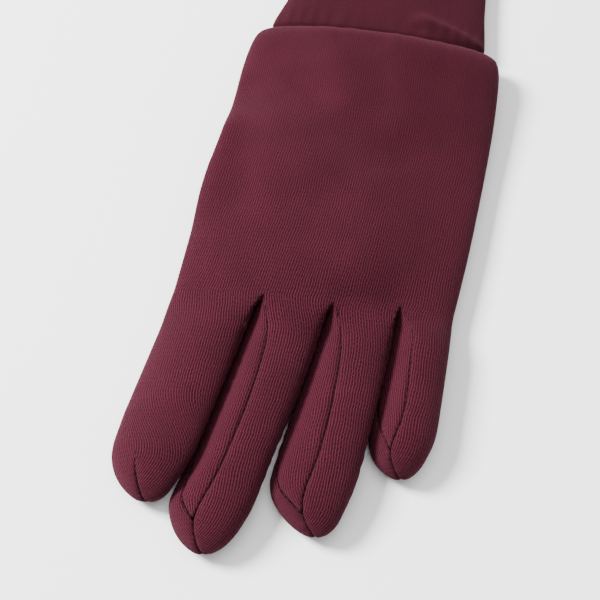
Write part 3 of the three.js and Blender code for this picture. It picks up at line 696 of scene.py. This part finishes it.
# Cloth each takes, in square metres
STRIP_AREAS = (0.0015, 0.0015, 0.00115)
for k, (name, area) in enumerate(zip(("index_middle", "middle_ring", "ring_little"), STRIP_AREAS)):
    here, there = fourchette_side(k, k), fourchette_side(k, k + 1)
    points = np.concatenate([here[::-1], there[1:]])
    index = np.arange(points.shape[0] * points.shape[1]).reshape(points.shape[:2])
    index[0, :] = index[0, 0]
    index[-1, :] = index[-1, 0]
    width = length_along(points, 1)
    cloth = np.stack([width - width[:, -1:] / 2, length_along(points, 0)], -1)
    strip = piece_of_cloth(f"side_strip_{name}", [(points, index, cloth, True)])
    finish_cloth(strip, FABRIC, wool_jersey)
    # Under the back's seam the inner face stays below the outer one, so it can't show through the seam
    half = len(strip.data.vertices) // 2
    for outer, inner in zip(strip.data.vertices[:half], strip.data.vertices[half:]):
        if outer.co.z > FINGER_THICKNESS / 2 * MM:
            inner.co.z = min(inner.co.z, outer.co.z - 0.4 * MM)
    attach(strip, "root")
    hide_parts(f"fourchette_{name}")

# The cuff is a tube of the same jersey, doubled: it runs out to the hem, folds there and comes back
# inside. It is sewn to the hand at the wrist, where it gathers, and narrows from there.
CUFF_LENGTH, CUFF_WIDTH, CUFF_THICKNESS = 75.0, 65.0, 11.0
CUFF_FABRIC, CUFF_SHIFT, CUFF_NARROWING = 2.2, 0.9, 0.24
SEAM_GAP, CUFF_TUCK = 0.5, 2.1
# along, width, thick
CUFF_SECTIONS = np.array([
    (0.0, 1.06, 1.0), (0.07, 1.06, 1.0), (0.14, 1.06, 1.0), (0.34, 1.04, 0.97),
    (0.62, 1.01, 0.95), (0.88, 1.0, 1.0), (1.0, 1.01, 1.02),
])
# The ridge's two ends, in millimetres from the wrist seam's middle, and its width and height
RIDGE_FROM, RIDGE_TO = np.array([14.0, 8.5]), np.array([37.0, 2.0])
RIDGE_WIDTH, RIDGE_HEIGHT = 2.4, 2.2
TUCK_FROM, TUCK_OVER = 0.3, 2.5
PLEAT, PLEAT_MIDDLE, PLEAT_REACH = 0.3, 5.0, 5.0


def cuff_point(angle, share, inset, beyond):
    """A point of the cuff at a share of its length, set in from its outside, and beyond its hem."""
    angle, share = np.broadcast_arrays(angle, share)
    left, right, thick = HAND_SECTIONS[0, 1:]
    narrowed = smooth(share / CUFF_NARROWING)
    y = SEAM_GAP + share * CUFF_LENGTH
    # Its first 3 mm are tucked inside the hand, and it comes out to full size over the next 2.5 mm
    inset = inset + CUFF_TUCK * (1 - smooth((y - TUCK_FROM) / TUCK_OVER))
    half_width = lerp((right - left) * PALM_WIDTH, curve(CUFF_SECTIONS, 1, share) * CUFF_WIDTH, narrowed) / 2
    own = curve(CUFF_SECTIONS, 2, share) * CUFF_THICKNESS
    half = (lerp(thick * HAND_THICKNESS, own, narrowed) + SETTLE) / 2
    middle = lerp((left + right) / 2 * PALM_WIDTH, CUFF_SHIFT, narrowed)
    x = middle + (half_width - inset) * rounded(np.cos(angle))
    z = np.maximum(half - SETTLE + (half - inset) * rounded(np.sin(angle)), inset)
    # On the little finger's side a ridge runs down to the seam
    top = np.maximum(np.sin(angle), 0)
    run = RIDGE_TO - RIDGE_FROM
    place = np.stack(np.broadcast_arrays(x, y), -1) - RIDGE_FROM
    off = place - np.clip(place @ run / (run @ run), 0, 1)[..., None] * run
    z = z + RIDGE_HEIGHT * np.exp(-(off ** 2).sum(-1) / RIDGE_WIDTH ** 2) * top
    # The seam gathers it in narrow pleats, gone 15 mm beyond it
    pleat = np.sin(x * 1.3 + 1.4 * np.sin(x * 0.23)) * np.exp(-((y - PLEAT_MIDDLE) / PLEAT_REACH) ** 2)
    z = z + PLEAT * pleat * top
    return np.stack(np.broadcast_arrays(x, y + beyond, z), -1)


# Rows of points as shares of its length: in the tuck, close together past the seam, then to the hem
around = np.linspace(0, 2 * math.pi, 181)
tucked, past_seam = [-0.047, -0.035, -0.023], np.linspace(-0.012, 0.1, 14)[:-1]
out = np.concatenate([tucked, past_seam, np.linspace(0.1, 1, 50)])
hem = np.linspace(0, math.pi, 9)[1:-1]
rows = [cuff_point(around, share, 0, 0) for share in out]
turn = CUFF_FABRIC / 2
rows += [cuff_point(around, 1.0, turn * (1 - math.cos(a)), turn * math.sin(a)) for a in hem]
rows += [cuff_point(around, share, CUFF_FABRIC, 0) for share in out[::-1]]
points = np.stack(rows)
index = np.arange(points.shape[0] * points.shape[1]).reshape(points.shape[:2])
index[:, -1] = index[:, 0]
cloth = np.stack([length_along(points, 1), length_along(points, 0)], -1)
# Painted shade: the same wool with darker yarn colours, for the shade the cuff lies in, lower than the hand
PALE_CUFF_YARN_IN_PAINTED_SHADE, DARK_CUFF_YARN_IN_PAINTED_SHADE = "4D1727", "22090F"
cuff_jersey = jersey("brushed merino jersey, doubled, in painted shade", PALE_CUFF_YARN_IN_PAINTED_SHADE, DARK_CUFF_YARN_IN_PAINTED_SHADE, 0.2)
cuff = piece_of_cloth("doubled_cuff", [(points, index, cloth, False)])
finish_cloth(cuff, 1.0, cuff_jersey, rounds=2, roll_mm=0.5)
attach(cuff, "root")
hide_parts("cuff")

# The thumb is a tube of jersey, folded flat under the palm. It opens upwards into the palm.
around = np.linspace(0, 2 * math.pi, 61)
down = THUMB_LENGTH * (1 - np.cos(np.linspace(0, math.pi, 61))) / 2
to_end = np.minimum(down, THUMB_LENGTH - down)
wide = np.sqrt(np.clip(1 - (1 - np.minimum(to_end / (THUMB_WIDTH / 2), 1)) ** 2, 0, 1))[:, None]
beside = THUMB_WIDTH / 2 * wide * rounded(np.cos(around))
up = THUMB_THICKNESS / 2 * np.minimum(1, wide ** 0.5) * rounded(np.sin(around))
flat = thumb_start + down[:, None, None] * thumb_way + beside[..., None] * thumb_across
points = np.concatenate([flat, (THUMB_THICKNESS / 2 + up)[..., None]], -1)
index = np.arange(points.shape[0] * points.shape[1]).reshape(points.shape[:2])
index[:, -1] = index[:, 0]
index[0, :], index[-1, :] = index[0, 0], index[-1, 0]
cloth = np.stack([length_along(points, 1), length_along(points, 0)], -1)
thumb = piece_of_cloth("folded_thumb", [(points, index, cloth, True)], *HOLE_IN_THUMB)
finish_cloth(thumb, FABRIC, wool_jersey, rounds=2)
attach(thumb, "root")
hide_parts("thumb")

# A plain white table under soft daylight from the left
FLOOR = "FAFAFB"
bpy.ops.mesh.primitive_plane_add(size=4.0, location=(0, 0, 0))
floor = bpy.context.object
floor.name = "floor"
paper = bpy.data.materials.new("white paper")
paper.use_nodes = True
paper.node_tree.nodes["Principled BSDF"].inputs["Base Color"].default_value = linear(FLOOR)
paper.node_tree.nodes["Principled BSDF"].inputs["Roughness"].default_value = 0.8
floor.data.materials.append(paper)


def lamp(name, place, size, power):
    bpy.ops.object.light_add(type="AREA", location=place)
    light = bpy.context.object
    light.name = name
    light.rotation_euler = (-Vector(place)).to_track_quat("-Z", "Y").to_euler()
    light.data.size = size
    light.data.energy = power


lamp("window_left", (-1.05, 0.15, 0.95), 0.5, 84.0)
lamp("ceiling", (0.1, 0.1, 1.6), 1.4, 18.0)
world = bpy.data.worlds.new("room")
bpy.context.scene.world = world
world.use_nodes = True
world.node_tree.nodes["Background"].inputs["Color"].default_value = (1, 1, 1, 1)
world.node_tree.nodes["Background"].inputs["Strength"].default_value = 0.75
